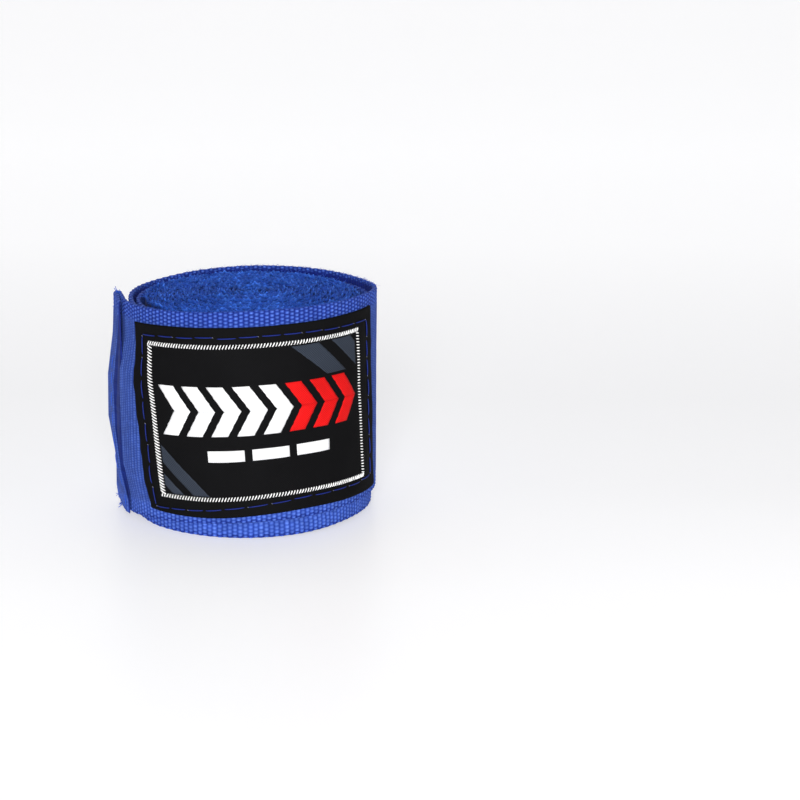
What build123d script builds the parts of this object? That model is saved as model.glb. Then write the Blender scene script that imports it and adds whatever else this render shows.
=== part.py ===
from build123d import *
import math
import os

# A rolled cotton hand wrap, standing on its end.  Millimetres, +Z up.
# The origin is on the axis of the wound core, at the level that the roll stands on.
# The label faces -Y and the free end lies on the left, at -X.
#
# The band is one strip.  Its path is a spiral of half-turn arcs, named by a running angle
# that starts at the left (180 degrees) and grows counterclockwise, seen from above, as the
# band winds inward: 270 is the front, 360 the right, 450 the back, 540 the left again.

# ---- the band ----
BAND_WIDTH = 50.0
BAND_THICK = 0.9
CORE_PITCH = 1.0                  # radial growth of one tight turn
CORE_HALF_TURNS = 40
OUTER_STOPS = [31.1, 29.95, 28.4, 28.75, 27.2, 25.55]   # mid radius at left, right, left ...
TURN_GAP = 0.25                   # slit between two pieces of band that hinge on each other

# ---- running angles where the band is divided ----
TAB_ANGLE = 203.0                 # the free end leaves the roll here
HINGE_ANGLE = 350.0               # the closure flap peels back to here
STEP_ANGLE = 540.0                # the outer turn drops to the floor beyond here
CORE_ANGLE = 180.0 + 180.0 * (len(OUTER_STOPS) - 1)
CORE_END_ANGLE = CORE_ANGLE + 180.0 * CORE_HALF_TURNS

# ---- heights of the band's lower edge above the floor ----
FLAP_Z = 3.2
BACK_TURN_Z = 2.6
TAB_Z = 1.0

# ---- the free end ----
TAB_LENGTH = 15.5
HEM_LENGTH = 9.5
HEM_STITCH_INSET = 1.2

# ---- the thumb loop, folded in the core ----
LOOP_LAYER = 0.8
LOOP_SLIT = 0.15
LOOP_STEP = 1.0                   # radial step of one half turn of the doubled cloth
LOOP_HALF_TURNS = 4

# ---- the label and what is sewn on it ----
LABEL_THICK = 0.5
LABEL_CORNERS = {                 # running angle and height of each corner
    "top_left": (217.0, 48.4),
    "top_right": (338.5, 51.1),
    "bottom_left": (226.0, 5.0),
    "bottom_right": (343.5, 7.0),
}
LABEL_ARC = 65.0                  # mean length of the label along the roll
LABEL_HIGH = 43.7                 # mean height of the label
BORDER_INSET = 4.6
BORDER_WIDTH = 1.5
BORDER_THICK = 0.25
SEAM_INSET = 2.6

# ---- the fastening tapes ----
TAPE_WIDTH = 20.0
TAPE_PILE_WIDTH = 16.0
TAPE_BASE = 0.25
HOOK_THICK = 0.5
LOOP_THICK = 0.6
HOOK_SPAN = (206.0, 250.0)
LOOP_SPAN = (420.0, 612.0)
HOOK_Z = 13.5
LOOP_Z = 13.0
TAPE_SEAM_INSET = 1.0

# ---- sewing thread ----
THREAD = 0.4
THREAD_THICK = 0.15
STITCH_LENGTH = 3.6
STITCH_PITCH = 4.8


def radial_stops():
    core = [OUTER_STOPS[-1] - CORE_PITCH / 2 * k for k in range(1, CORE_HALF_TURNS + 1)]
    return OUTER_STOPS + core


def half_turn(stops, k):
    """Centre x, radius and start angle of half turn k of a spiral whose stop 0 is at the left."""
    first, last = stops[k], stops[k + 1]
    side = -1 if k % 2 == 0 else 1
    return side * (first - last) / 2, (first + last) / 2, 180.0 + 180.0 * k


def spiral_arcs(start, end, stops):
    """The arcs of the band's mid line between two running angles."""
    arcs = []
    for k in range(len(stops) - 1):
        centre_x, radius, first = half_turn(stops, k)
        low, high = max(start, first), min(end, first + 180.0)
        if high - low > 1e-6:
            arcs.append((centre_x, radius, low, high))
    return arcs


def arc_edge(centre_x, radius, low, high):
    return CenterArc((centre_x, 0), radius, low % 360, high - low)


def shell(arcs, inside, outside, z_low, height):
    """A strip that follows the arcs, from one offset off the mid line to another."""
    outer = [arc_edge(x, r + outside, low, high) for x, r, low, high in arcs]
    inner = [arc_edge(x, r + inside, low, high) for x, r, low, high in arcs]
    ends = [Line(outer[0] @ 0, inner[0] @ 0), Line(outer[-1] @ 1, inner[-1] @ 1)]
    face = make_face(Curve() + outer + inner + ends)
    return Pos(0, 0, z_low) * extrude(face, amount=height)


def band(start, end, z_low):
    arcs = spiral_arcs(start, end, radial_stops())
    return shell(arcs, -BAND_THICK / 2, BAND_THICK / 2, z_low, BAND_WIDTH)


def on_spiral(angle, offset):
    """The point at a running angle, at an offset off the band's mid line."""
    centre_x, radius, _, _ = spiral_arcs(angle - 0.01, angle + 0.01, radial_stops())[0]
    turn = math.radians(angle)
    return centre_x + (radius + offset) * math.cos(turn), (radius + offset) * math.sin(turn)


def gap_angle(angle):
    """Half the slit between two hinged pieces, as an angle on the band."""
    radius = spiral_arcs(angle - 0.01, angle + 0.01, radial_stops())[0][1]
    return math.degrees(TURN_GAP / 2 / radius)


# ---- band pieces ----

def make_inner_turns():
    return band(CORE_ANGLE, CORE_END_ANGLE, 0)


def make_outer_turns():
    exposed = band(HINGE_ANGLE + gap_angle(HINGE_ANGLE), STEP_ANGLE, BACK_TURN_Z)
    covered = band(STEP_ANGLE, CORE_ANGLE, 0)
    return exposed + covered


def make_closure_flap():
    start = TAB_ANGLE + gap_angle(TAB_ANGLE)
    return band(start, HINGE_ANGLE - gap_angle(HINGE_ANGLE), FLAP_Z)


def tab_place():
    """The tab's own frame: X along the tab, away from the flap, and Y away from the roll."""
    x, y = on_spiral(TAB_ANGLE, 0)
    return Pos(x, y, 0) * Rot(0, 0, TAB_ANGLE - 90)


def tab_block(u_low, u_high, n_low, n_high, z_low, height):
    block = Box(u_high - u_low, n_high - n_low, height)
    centre = Pos((u_low + u_high) / 2, (n_low + n_high) / 2, z_low + height / 2)
    return tab_place() * centre * block


def make_pull_tab():
    half = BAND_THICK / 2
    strip = tab_block(TURN_GAP / 2, TAB_LENGTH, -half, half, TAB_Z, BAND_WIDTH)
    hem = tab_block(TAB_LENGTH - HEM_LENGTH, TAB_LENGTH, half, 3 * half, TAB_Z, BAND_WIDTH)
    fold = Pos(TAB_LENGTH, half, TAB_Z + BAND_WIDTH / 2) * Cylinder(BAND_THICK, BAND_WIDTH)
    return strip + hem + tab_place() * fold


def make_hem_stitching():
    along = TAB_LENGTH - HEM_LENGTH + HEM_STITCH_INSET
    count = int((BAND_WIDTH - 2) / STITCH_PITCH)
    top = 3 * BAND_THICK / 2
    first = TAB_Z + (BAND_WIDTH - (count - 1) * STITCH_PITCH - STITCH_LENGTH) / 2
    return [tab_block(along, along + THREAD, top, top + THREAD_THICK, first + k * STITCH_PITCH,
                      STITCH_LENGTH) for k in range(count)]


# ---- thumb loop ----

def loop_stops():
    """Mid radii of the doubled cloth, which goes on where the tight turns end, at the right."""
    start = radial_stops()[-1] - (LOOP_LAYER + LOOP_SLIT) / 2
    return [start + LOOP_STEP] + [start - LOOP_STEP * k for k in range(LOOP_HALF_TURNS + 1)]


def make_thumb_loop():
    stops = loop_stops()
    arcs = spiral_arcs(360.0, 360.0 + 180.0 * LOOP_HALF_TURNS, stops)
    slit, full = LOOP_SLIT / 2, LOOP_SLIT / 2 + LOOP_LAYER
    outer_layer = shell(arcs, slit, full, 0, BAND_WIDTH)
    inner_layer = shell(arcs, -full, -slit, 0, BAND_WIDTH)
    ring = Cylinder(full, BAND_WIDTH) - Cylinder(slit, BAND_WIDTH)
    half_ring = ring & Pos(0, full, 0) * Box(2 * full, 2 * full, BAND_WIDTH)
    fold = Pos(stops[-1], 0, BAND_WIDTH / 2) * half_ring
    return outer_layer + inner_layer + fold


def make_thumb_loop_seam():
    """The row of thread that closes the loop, in the slit between its two layers."""
    centre_x, radius, low, _ = spiral_arcs(360.0, 540.0, loop_stops())[0]
    span = math.degrees(2.0 / radius)
    count = int((BAND_WIDTH - 2) / STITCH_PITCH)
    arcs = [(centre_x, radius, low + 4, low + 4 + span)]
    return [shell(arcs, -LOOP_SLIT / 2, LOOP_SLIT / 2, 2 + k * STITCH_PITCH, STITCH_LENGTH)
            for k in range(count)]


# ---- label ----

def label_point(s, t):
    """Running angle and height at s, from left to right, and t, from bottom to top."""
    c = LABEL_CORNERS
    low = [a + (b - a) * s for a, b in zip(c["bottom_left"], c["bottom_right"])]
    high = [a + (b - a) * s for a, b in zip(c["top_left"], c["top_right"])]
    return [a + (b - a) * t for a, b in zip(low, high)]


def label_cutter(s_low, s_high, t_low, t_high, steps=1):
    """A prism along Y whose outline lies on the flap between the given shares of the label."""
    side = [i / steps for i in range(steps)]
    ring = [(s_low + (s_high - s_low) * i, t_low) for i in side]
    ring += [(s_high, t_low + (t_high - t_low) * i) for i in side]
    ring += [(s_high - (s_high - s_low) * i, t_high) for i in side]
    ring += [(s_low, t_high - (t_high - t_low) * i) for i in side]
    outline = []
    for s, t in ring:
        angle, z = label_point(s, t)
        outline.append((on_spiral(angle, BAND_THICK / 2)[0], z))
    face = make_face(Plane.XZ * Polyline(*outline, close=True))
    return extrude(face, amount=2 * OUTER_STOPS[0])


def flap_skin(inside, outside):
    """A layer over the flap, at two heights above its outer face."""
    arcs = spiral_arcs(TAB_ANGLE + 0.5, HINGE_ANGLE - 2, radial_stops())
    base = BAND_THICK / 2
    return shell(arcs, base + inside, base + outside, 0, BAND_WIDTH + 2 * FLAP_Z)


def make_label():
    return flap_skin(0, LABEL_THICK) & label_cutter(0, 1, 0, 1, 10)


def inset_shares(inset):
    return inset / LABEL_ARC, inset / LABEL_HIGH


def make_label_border():
    s, t = inset_shares(BORDER_INSET)
    ds, dt = inset_shares(BORDER_INSET + BORDER_WIDTH)
    skin = flap_skin(LABEL_THICK, LABEL_THICK + BORDER_THICK)
    frame = label_cutter(s, 1 - s, t, 1 - t, 10) - label_cutter(ds, 1 - ds, dt, 1 - dt, 10)
    return skin & frame


def make_label_seam():
    """The running stitch that holds the label, dash by dash."""
    s, t = inset_shares(SEAM_INSET)
    ws, wt = inset_shares(THREAD)
    skin = flap_skin(LABEL_THICK, LABEL_THICK + THREAD_THICK)
    along = int((LABEL_ARC - 2 * SEAM_INSET) / STITCH_PITCH)
    up = int((LABEL_HIGH - 2 * SEAM_INSET) / STITCH_PITCH)
    dashes = []
    for k in range(along):
        low = s + (1 - 2 * s) * (k + 0.15) / along
        high = s + (1 - 2 * s) * (k + 0.85) / along
        dashes += [label_cutter(low, high, t, t + wt), label_cutter(low, high, 1 - t - wt, 1 - t)]
    for k in range(up):
        low = t + (1 - 2 * t) * (k + 0.15) / up
        high = t + (1 - 2 * t) * (k + 0.85) / up
        dashes += [label_cutter(s, s + ws, low, high), label_cutter(1 - s - ws, 1 - s, low, high)]
    return [skin & dash for dash in dashes]


# ---- fastening tapes ----

def tape(span, face, away, thick, z_low):
    """A tape on the band: a thin woven base with a thicker pile along its middle."""
    arcs = spiral_arcs(span[0], span[1], radial_stops())
    margin = (TAPE_WIDTH - TAPE_PILE_WIDTH) / 2
    base = shell(arcs, *sorted((face, face + away * TAPE_BASE)), z_low, TAPE_WIDTH)
    pile = shell(arcs, *sorted((face, face + away * thick)), z_low + margin, TAPE_PILE_WIDTH)
    return base + pile


def tape_seam(span, face, away, z_low):
    """Dashes of thread along both margins of a tape."""
    low = face + away * TAPE_BASE
    offsets = sorted((low, low + away * THREAD_THICK))
    radius = spiral_arcs(span[0], span[0] + 1, radial_stops())[0][1]
    pitch = math.degrees(STITCH_PITCH / radius)
    dash = math.degrees(STITCH_LENGTH / radius)
    heights = [z_low + middle - THREAD / 2 for middle in (TAPE_SEAM_INSET, TAPE_WIDTH - TAPE_SEAM_INSET)]
    count = int((span[1] - span[0]) / pitch)
    dashes = []
    for k in range(count):
        start = span[0] + (pitch - dash) / 2 + k * pitch
        arcs = spiral_arcs(start, start + dash, radial_stops())
        dashes += [shell(arcs, offsets[0], offsets[1], z, THREAD) for z in heights]
    return dashes


def make_nodes():
    inner_face, outer_face = -BAND_THICK / 2, BAND_THICK / 2
    return {
        "inner_turns": make_inner_turns(),
        "outer_turns": make_outer_turns(),
        "closure_flap": make_closure_flap(),
        "pull_tab": make_pull_tab(),
        "hem_stitching": make_hem_stitching(),
        "thumb_loop": make_thumb_loop(),
        "thumb_loop_seam": make_thumb_loop_seam(),
        "label_patch": make_label(),
        "label_border": make_label_border(),
        "label_seam": make_label_seam(),
        "hook_tape": tape(HOOK_SPAN, inner_face, -1, HOOK_THICK, HOOK_Z),
        "hook_tape_seam": tape_seam(HOOK_SPAN, inner_face, -1, HOOK_Z),
        "loop_tape": tape(LOOP_SPAN, outer_face, 1, LOOP_THICK, LOOP_Z),
        "loop_tape_seam": tape_seam(LOOP_SPAN, outer_face, 1, LOOP_Z),
    }


def band_length():
    arcs = spiral_arcs(TAB_ANGLE, CORE_END_ANGLE, radial_stops())
    wound = sum(radius * math.radians(high - low) for _, radius, low, high in arcs)
    doubled = sum(r * math.radians(b - a) for _, r, a, b in
                  spiral_arcs(360.0, 360.0 + 180.0 * LOOP_HALF_TURNS, loop_stops()))
    return wound + 2 * doubled + TAB_LENGTH + HEM_LENGTH


def one_shape(pieces):
    """A single solid as it is, and a list of them as one group."""
    solids = [solid for piece in pieces for solid in piece.solids()]
    return solids[0] if len(solids) == 1 else Compound(solids)


os.makedirs("parts", exist_ok=True)
for name, shape in make_nodes().items():
    pieces = shape if isinstance(shape, list) else [shape]
    export_step(one_shape(pieces), f"parts/{name}.step")
print("band length, mm:", round(band_length()))
for label, angle in (("flap hinge", HINGE_ANGLE), ("tab hinge", TAB_ANGLE)):
    print(label, [round(v, 3) for v in on_spiral(angle, BAND_THICK / 2)])
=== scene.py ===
import math
import bpy
import numpy as np
from mathutils import Matrix, Vector


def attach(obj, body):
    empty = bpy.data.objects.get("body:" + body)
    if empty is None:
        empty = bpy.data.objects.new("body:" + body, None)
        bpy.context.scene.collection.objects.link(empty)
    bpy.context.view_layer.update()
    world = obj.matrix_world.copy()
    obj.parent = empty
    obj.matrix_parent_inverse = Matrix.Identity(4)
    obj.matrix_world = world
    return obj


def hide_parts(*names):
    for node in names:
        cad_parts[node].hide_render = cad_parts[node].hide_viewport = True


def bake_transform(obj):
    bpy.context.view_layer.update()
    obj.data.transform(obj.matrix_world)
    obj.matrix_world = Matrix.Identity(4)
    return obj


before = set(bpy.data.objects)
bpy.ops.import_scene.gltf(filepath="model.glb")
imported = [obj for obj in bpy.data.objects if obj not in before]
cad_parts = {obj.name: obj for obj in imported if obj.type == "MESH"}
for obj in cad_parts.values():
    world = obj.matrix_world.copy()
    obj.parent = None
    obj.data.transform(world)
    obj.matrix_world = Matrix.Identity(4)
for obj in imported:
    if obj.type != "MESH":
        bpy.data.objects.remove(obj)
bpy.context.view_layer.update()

# A rolled hand wrap.  Lengths below are in millimetres and become metres when a mesh is made.
# The band's path is a spiral of half-turn arcs, named by a running angle: 180 is the left,
# 270 the front, 360 the right, 450 the back and 540 the left again, one turn further in.
# Places along the band are also given as "run", the length in millimetres from the place
# where the pull tab leaves the roll, positive on the way in.
MM = 0.001
rng = np.random.default_rng(11)

# ---- the band ----
BAND_WIDTH = 50.0
BODY_HALF = 0.30          # half of the cloth's thickness without its ribs
RIB_HIGH = 0.27
RIB_PITCH = 1.16
RIB_COUNT = 2400          # ribs that have random values of their own
BEAD_PITCH = 0.88         # knots of the selvage, up the band
SELVAGE = 3.6             # how far the knotted edge reaches in
FASTENER_BULGE = 1.75     # how far the flap stands off over the hooks
FOOT_SPREAD = 1.05        # how far the foot of the front turn spreads out
OUTER_STOPS = [31.1, 29.3, 28.85, 28.15, 27.2, 25.55]   # mid radius at left, right, left ...
CORE_STEP = 0.5           # how much smaller each half turn of the core is
CORE_HALF_TURNS = 40
CORE_HALF = 0.36          # half of the cloth's thickness where it is wound tight
STOPS = np.array(OUTER_STOPS + [OUTER_STOPS[-1] - CORE_STEP * (k + 1) for k in range(CORE_HALF_TURNS)])
CORE_ANGLE = 180.0 * len(OUTER_STOPS)
CORE_END_ANGLE = CORE_ANGLE + 180.0 * CORE_HALF_TURNS

# ---- where the cloth is divided ----
TAB_ANGLE = 203.0
FLAP_SEAM_ANGLE = 220.0
BACK_START_ANGLE = 360.0
BACK_END_ANGLE = 553.0
FRONT_END_ANGLE = 720.0

# ---- heights of the band's lower and upper edges, by running angle ----
EDGE_ANGLES = [180, 203, 222, 240, 273, 324, 341, 360, 388, 430, 454, 479, 507, 540, 563, 577,
               622, 650, 671, 684, 697, 720, 820, 1080]
LOW_EDGES = [0.5, 0.6, 1.9, 2.8, 4.1, 4.6, 4.6, 4.0, 3.0, 2.9, 2.9, 2.4, 1.8, 1.9, 1.2, 0.0,
             0.0, 0.2, 0.5, 0.7, 0.4, 0.2, 0.6, 0.9]
HIGH_EDGES = [52.3, 52.5, 52.7, 53.1, 54.2, 54.5, 54.4, 53.6, 52.6, 52.8, 52.8, 52.4, 51.8, 52.0, 51.6, 51.0,
              51.0, 50.8, 50.8, 50.9, 50.8, 50.8, 51.0, 51.0]

# ---- the thumb loop's doubled cloth ----
LOOP_OFFSET = 0.475       # from the middle of the doubled cloth to either layer
LOOP_STEP = 1.0
LOOP_HALF_TURNS = 4

# ---- the pull tab ----
TIP_HEIGHTS = [0, 4, 8, 12, 14, 16, 20, 25, 31, 35, 40, 44, 50]
TIP_LENGTHS = [10.2, 10.8, 11.2, 11.4, 11.6, 11.9, 12.4, 12.6, 12.6, 12.3, 11.7, 11.1, 10.2]
TIP_SWAY = [-1.3, -0.8, -0.5, -1.1, -1.3, -0.4, 0.5, 0.5, 0.3, -0.2, -0.9, -1.4, -1.4]
HEM_EDGE_LENGTHS = [-2.4, -2.3, -1.9, -1.3, -0.8, 0.1, 1.6, 2.5, 2.5, 1.6, 0.4, -0.5, -1.1]
FOLD_RADIUS = 0.5
TAB_CLOTH_LENGTH = 26.0   # from the root, out to the fold and back to the hem's free edge
BASE_SHARE = 0.50         # share of that length before the fold
FOLD_SHARE = 0.06         # share taken by the fold
HEM_SHARE = 1 - BASE_SHARE - FOLD_SHARE
CUT_THIN = 0.3            # thickness left at the hem's cut edge

# ---- the label ----
LABEL_LONG = 65.5
LABEL_HIGH = 43.7
LABEL_THICK = 0.42
LABEL_LIFT = BODY_HALF + RIB_HIGH - 0.04
# Running angle and height of its corners: bottom left, bottom right, top left, top right.
LABEL_CORNERS = [(226.0, 5.1), (345.8, 6.7), (216.8, 48.9), (340.0, 51.4)]

# ---- tapes ----
TAPE_WIDTH = 20.0
TAPE_PILE = 16.0          # width of the brushed part
TAPE_FACE = BODY_HALF + RIB_HIGH - 0.06
HOOK_SPAN = (208.5, 250.0)
HOOK_Z = 13.5             # height of the tape's lower edge
HOOK_THICK = 0.22
LOOP_SPAN = (420.0, 612.0)
LOOP_Z = 13.0
LOOP_THICK = 0.28

# ---- threads and fibres ----
STITCH_RADIUS = 0.17
SATIN_RADIUS = 0.19
SATIN_PITCH = 0.70
PILE_COUNT = 7200
CORE_FUZZ_COUNT = 4600
EDGE_FUZZ_COUNT = 500


# ---- the band's path ----

# Centre x and radius of every half turn.
CENTRES = np.where(np.arange(len(STOPS) - 1) % 2 == 0, -1.0, 1.0) * (STOPS[:-1] - STOPS[1:]) / 2
RADII = (STOPS[:-1] + STOPS[1:]) / 2
STOP_ANGLES = 180.0 + 180.0 * np.arange(len(STOPS))
STOP_RUNS = np.concatenate([[0.0], np.cumsum(RADII * math.pi)])
TAB_RUN = RADII[0] * math.radians(TAB_ANGLE - 180.0)


def run_at(angle):
    return np.interp(angle, STOP_ANGLES, STOP_RUNS) - TAB_RUN


def angle_at(run):
    return np.interp(np.asarray(run) + TAB_RUN, STOP_RUNS, STOP_ANGLES)


def half_turn_at(angle):
    """Which half turn a running angle falls in."""
    return np.clip(((angle - 180.0) // 180.0).astype(int), 0, len(RADII) - 1)


def on_band(angle, out, z):
    """Points on the band in millimetres, out millimetres off its mid line."""
    angle, out, z = np.broadcast_arrays(np.asarray(angle, float), out, z)
    k = half_turn_at(angle)
    turn = np.radians(angle)
    reach = RADII[k] + out
    return np.stack([CENTRES[k] + reach * np.cos(turn), reach * np.sin(turn), z], -1)


def eased(place, stated, values, reach, count):
    """A value between its stated ones, averaged over a short reach to each side."""
    spread = np.linspace(-reach, reach, count)
    return np.mean([np.interp(np.asarray(place, float) + d, stated, values) for d in spread], 0)


def height(angle, up):
    """Height above the floor at a place up the band's width."""
    low, high = (eased(angle, EDGE_ANGLES, edge, 9, 7) for edge in (LOW_EDGES, HIGH_EDGES))
    return low + (high - low) * np.asarray(up) / BAND_WIDTH


def fastener_bump(angle, z):
    """How far the flap is pushed out where the hooks sit on the pile beneath it."""
    over = smooth_step(z, 3, 15) * (1 - smooth_step(z, 34, 46))
    return FASTENER_BULGE * over * (1 - smooth_step(angle, 212, 252))


def foot_flare(angle, up):
    """How far the foot of the front turn spreads out towards the flap."""
    spread = smooth_step(angle, 535, 570) * (1 - smooth_step(angle, 650, 702))
    return FOOT_SPREAD * spread * (1 - smooth_step(up, 1.8, 6.0))


# ---- meshes ----

def smooth_step(x, low, high):
    t = np.clip((x - low) / (high - low), 0, 1)
    return t * t * (3 - 2 * t)


def new_object(name, data):
    """An object with its data, linked to the scene."""
    made = bpy.data.objects.new(name, data)
    bpy.context.scene.collection.objects.link(made)
    return made


def make_mesh(name, points, faces, body, material, weave, relief=None):
    """A mesh from points in millimetres, with its weave coordinates, riding on a body."""
    mesh = bpy.data.meshes.new(name)
    mesh.from_pydata((np.asarray(points) * MM).tolist(), [], faces)
    mesh.polygons.foreach_set("use_smooth", np.ones(len(faces), bool))
    layer = mesh.attributes.new("weave", "FLOAT_VECTOR", "POINT")
    layer.data.foreach_set("vector", np.asarray(weave, np.float32).reshape(-1))
    if relief is not None:
        layer = mesh.attributes.new("relief", "FLOAT", "POINT")
        layer.data.foreach_set("value", np.asarray(relief, np.float32).reshape(-1))
    mesh.materials.append(MATERIAL[material])
    piece = new_object(name, mesh)
    if body:
        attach(piece, body)
    return piece


def tube_faces(columns, around):
    """Faces of a loft of closed rings, with its two ends closed row by row."""
    i = np.arange(columns - 1)[:, None] * around
    j = np.arange(around)
    k = (j + 1) % around
    quads = np.stack([i + j, i + around + j, i + around + k, i + k], -1).reshape(-1, 4).tolist()
    for base, flip in ((0, False), ((columns - 1) * around, True)):
        quads += end_cap(base, around, flip)
    return quads


def end_cap(base, around, flip):
    """Faces that close one end ring by joining its two sides row by row."""
    low, high, faces = 0, around - 1, []
    while high - low > 1:
        face = [base + low, base + low + 1, base + high - 1, base + high]
        if high - low == 2:
            face = face[:2] + face[3:]
        faces.append(face[::-1] if flip else face)
        low, high = low + 1, high - 1
    return faces


def sheet_faces(long, high):
    """Faces of a thin closed sheet: a grid of points in front, the same behind, and the rim."""
    i, j = np.meshgrid(np.arange(long - 1), np.arange(high - 1), indexing="ij")
    first = (i * high + j).ravel()
    front = np.stack([first, first + high, first + high + 1, first + 1], -1)
    count = long * high
    rim = list(range(0, count, high)) + list(range(count - high + 1, count))
    rim += list(range(count - high - 1, 0, -high)) + list(range(high - 2, 0, -1))
    around = [[v, v + count, w + count, w] for v, w in zip(rim, rim[1:] + rim[:1])]
    return front.tolist() + (front[:, ::-1] + count).tolist() + around


def loft(name, rings, body, material, weave, relief=None):
    """A closed skin over rings of points, given as an array of columns, points and 3."""
    columns, around = rings.shape[:2]
    faces = tube_faces(columns, around)
    return make_mesh(name, rings.reshape(-1, 3), faces, body, material, weave, relief)


# ---- the cloth's relief ----

rib_gain = 1 + 0.05 * rng.standard_normal(RIB_COUNT).clip(-2, 2)


def from_edge(up):
    """Distance in from the nearer edge of the band."""
    return np.minimum(up, BAND_WIDTH - up)


def ridge(x, sharp):
    """1 on the crest of a thread and 0 in the groove, with the crest at whole numbers."""
    return np.abs(np.cos(math.pi * x)) ** sharp


def zigzag(run):
    """A wave between -1 and 1 that turns at every rib."""
    return 2 * np.abs((run / (2 * RIB_PITCH)) % 1 * 2 - 1) - 1


def cloth_relief(run, up):
    """Share of the full relief, 0 to 1, at a place along the band and up its width.
    The knots of the selvage are bold at the upper edge and faint at the lower one."""
    rib = np.floor(run / RIB_PITCH + 0.5).astype(int)
    edge = from_edge(up)
    knotted = 1 - smooth_step(edge, SELVAGE - 0.9, SELVAGE + 0.7)
    plainer = np.maximum(0.4 * knotted, 1 - smooth_step(edge, 0.7, 1.1))
    knotted = np.where(up < BAND_WIDTH / 2, plainer, knotted)
    gain = rib_gain[rib % RIB_COUNT]
    slip = 0.12 * np.sin(7.3 * rib) + 0.05 * gain
    bead = ridge(up / BEAD_PITCH + 0.5 * (rib % 2) + slip, 0.9)
    across = ridge(run / RIB_PITCH, 0.75)
    high = (1 - (0.42 + 0.5 * knotted) * (1 - across)) * gain
    return high * (1 - (0.10 + 0.80 * knotted) * (1 - bead))


def selvage_wave(up, wave, upper, lower, reach):
    """A wave of the selvage thread, of one depth at the upper edge and another at the lower."""
    deep = np.where(up > BAND_WIDTH / 2, upper, lower)
    return deep * wave * np.exp(-(from_edge(up) / reach) ** 2)


def section(top_rows, middle_rows, bottom_rows, inner_rows=9):
    """A ring round the cloth: (height, side) pairs, up the outer face and down the inner one.
    Rows are counts of the fine rows in each selvage and of the plain rows between them."""
    zone = SELVAGE + 0.9
    low = np.linspace(0.25, zone, bottom_rows)
    high = np.linspace(BAND_WIDTH - zone, BAND_WIDTH - 0.25, top_rows)
    middle = np.linspace(zone, BAND_WIDTH - zone, middle_rows + 2)[1:-1]
    outer = [(v, 1.0) for v in np.concatenate([low, middle, high])]
    top = [(BAND_WIDTH - 0.06, 0.62), (BAND_WIDTH, 0.0), (BAND_WIDTH - 0.06, -0.62)]
    middle_back = [10, 20, 30, 40]
    back = np.concatenate([np.linspace(0.25, 3.4, 9), middle_back, np.linspace(46.6, 49.75, inner_rows)])
    inner = [(v, -1.0) for v in back[::-1]]
    bottom = [(0.06, -0.62), (0.0, 0.0), (0.06, 0.62)]
    return np.array(outer + top + inner + bottom)


def ring_grid(runs, ring):
    """Run, height up and side at every point of a ring that is placed at every run."""
    run = np.repeat(runs[:, None], len(ring), 1)
    up, side = (np.repeat(ring[None, :, i], len(runs), 0) for i in range(2))
    return run, up, side


def weave_at(run, up):
    """Weave coordinates: ribs along, millimetres up, and millimetres in from the edge."""
    return np.stack([run / RIB_PITCH, up, from_edge(up)], -1)


def cloth_rings(runs, ring, place):
    """Rings of ribbed cloth at each run, their weave coordinates and their relief.
    place maps run, offset and height up the band to points."""
    run, up, side = ring_grid(runs, ring)
    relief = cloth_relief(run + np.where(side < 0, RIB_PITCH, 0), up)
    crimp = selvage_wave(up, zigzag(run), 0.13, 0.05, 0.6)
    scallop = selvage_wave(up, np.cos(math.pi * run / RIB_PITCH), 0.035, -0.01, 0.5)
    points = place(run, side * (BODY_HALF + RIB_HIGH * relief) + crimp, up + scallop)
    return points, weave_at(run, up), relief


def painted_gap_shade(ring, relief):
    """Painted shade: relief that fades down the inner face, in the narrow gap to the wound turns, so the gap
    looks dark.
    """
    gap_shade = np.where(ring[:, 1] < 0, smooth_step(BAND_WIDTH - ring[:, 0], 0.45, 1.15), 0.0)
    return relief * (1 - 0.95 * gap_shade)


def columns(run_low, run_high, per_rib):
    """Runs at which a ring is placed, in step with the ribs."""
    step = RIB_PITCH / per_rib
    first, last = math.ceil(run_low / step + 1e-6), math.floor(run_high / step - 1e-6)
    inside = np.arange(first, last + 1) * step
    return np.concatenate([[run_low], inside, [run_high]])


def groove_run(angle):
    """The rib groove nearest to a running angle."""
    return (math.floor(run_at(angle) / RIB_PITCH) + 0.5) * RIB_PITCH


def wound(run, off, up):
    """Places cloth on the roll, with slow unevenness in how it lies."""
    angle = angle_at(run)
    z = height(angle, up)
    sway = 0.08 * np.sin(run / 17.0 + 0.06 * up) + 0.05 * np.sin(run / 6.1 + 1.3 - 0.11 * up)
    return on_band(angle, off + sway + fastener_bump(angle, z) + foot_flare(angle, up), z)


# ---- node groups ----

SOCKET_KINDS = {1: "NodeSocketFloat", 3: "NodeSocketVector", 4: "NodeSocketColor"}


def new_group(name, inputs):
    """A node group with named inputs, which puts out a colour, a roughness and a height."""
    tree = bpy.data.node_groups.new(name, "ShaderNodeTree")
    for label, default in inputs.items():
        kind = SOCKET_KINDS[np.size(default)]
        tree.interface.new_socket(name=label, in_out="INPUT", socket_type=kind).default_value = default
    for label, size in (("Color", 4), ("Roughness", 1), ("Height", 1)):
        tree.interface.new_socket(name=label, in_out="OUTPUT", socket_type=SOCKET_KINDS[size])
    return tree, tree.nodes.new("NodeGroupInput").outputs


def feed(tree, node, inputs):
    """Gives a node its inputs, each of them a value or another node's socket."""
    for key, value in inputs.items():
        if isinstance(value, bpy.types.NodeSocket):
            tree.links.new(value, node.inputs[key])
        else:
            node.inputs[key].default_value = value


def add_node(tree, kind, inputs=None, **settings):
    """A node with its settings and its inputs."""
    node = tree.nodes.new(kind)
    for key, value in settings.items():
        setattr(node, key, value)
    feed(tree, node, inputs or {})
    return node


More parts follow.
